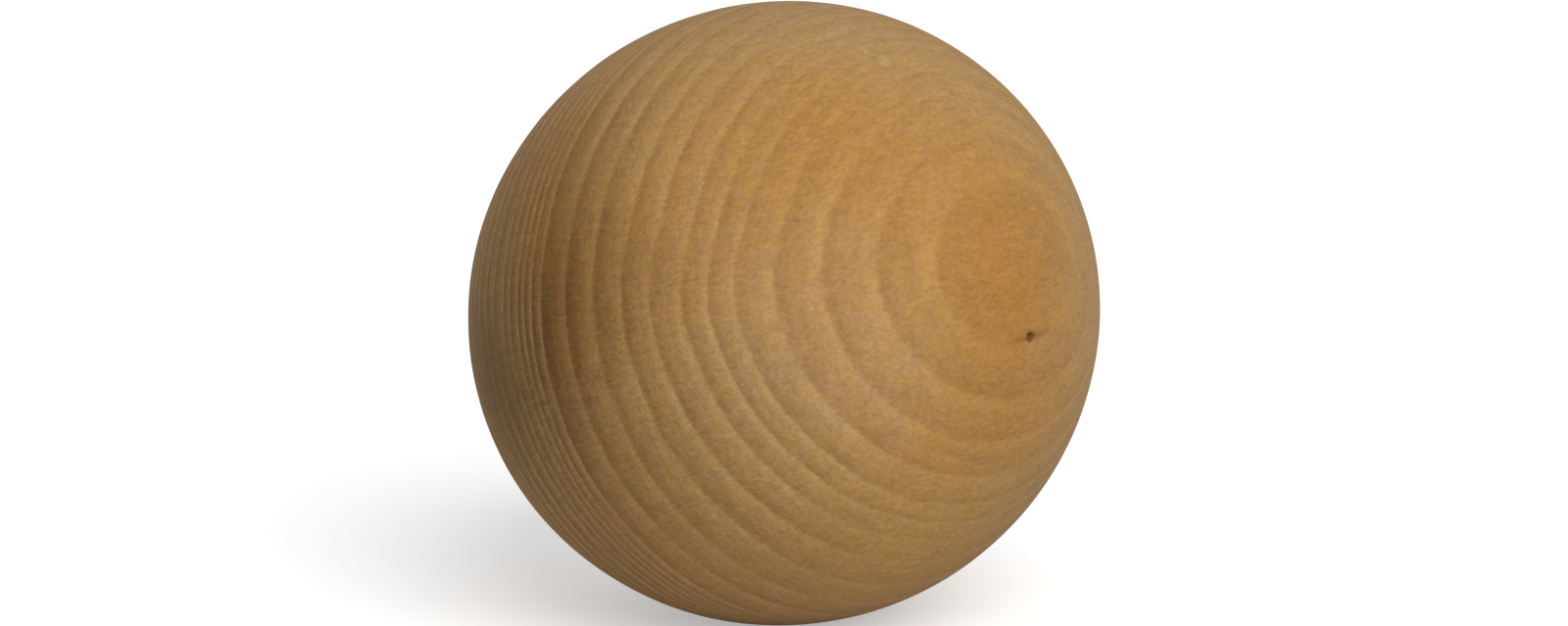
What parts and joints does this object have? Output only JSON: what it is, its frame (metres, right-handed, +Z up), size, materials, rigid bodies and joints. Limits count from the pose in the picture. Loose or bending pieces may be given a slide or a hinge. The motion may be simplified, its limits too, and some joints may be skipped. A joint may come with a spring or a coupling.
{
  "type": "wooden ball",
  "caption": "Plain turned wooden ball with visible growth rings and a tiny pin-knot pit.",
  "frame": {"origin": "centre of the ball", "axes": "+Z up and +X to the right as the picture shows the ball, -Y towards its viewer; the shortest diameter leans 27.5 degrees from +Z towards -X"},
  "size_m": [0.0498, 0.05, 0.0492],
  "materials": {
    "wood": "sanded bare wood, golden tan, satin to matt"
  },
  "bodies": {
    "root": {"ball": "wood"}
  },
  "joints": []
}
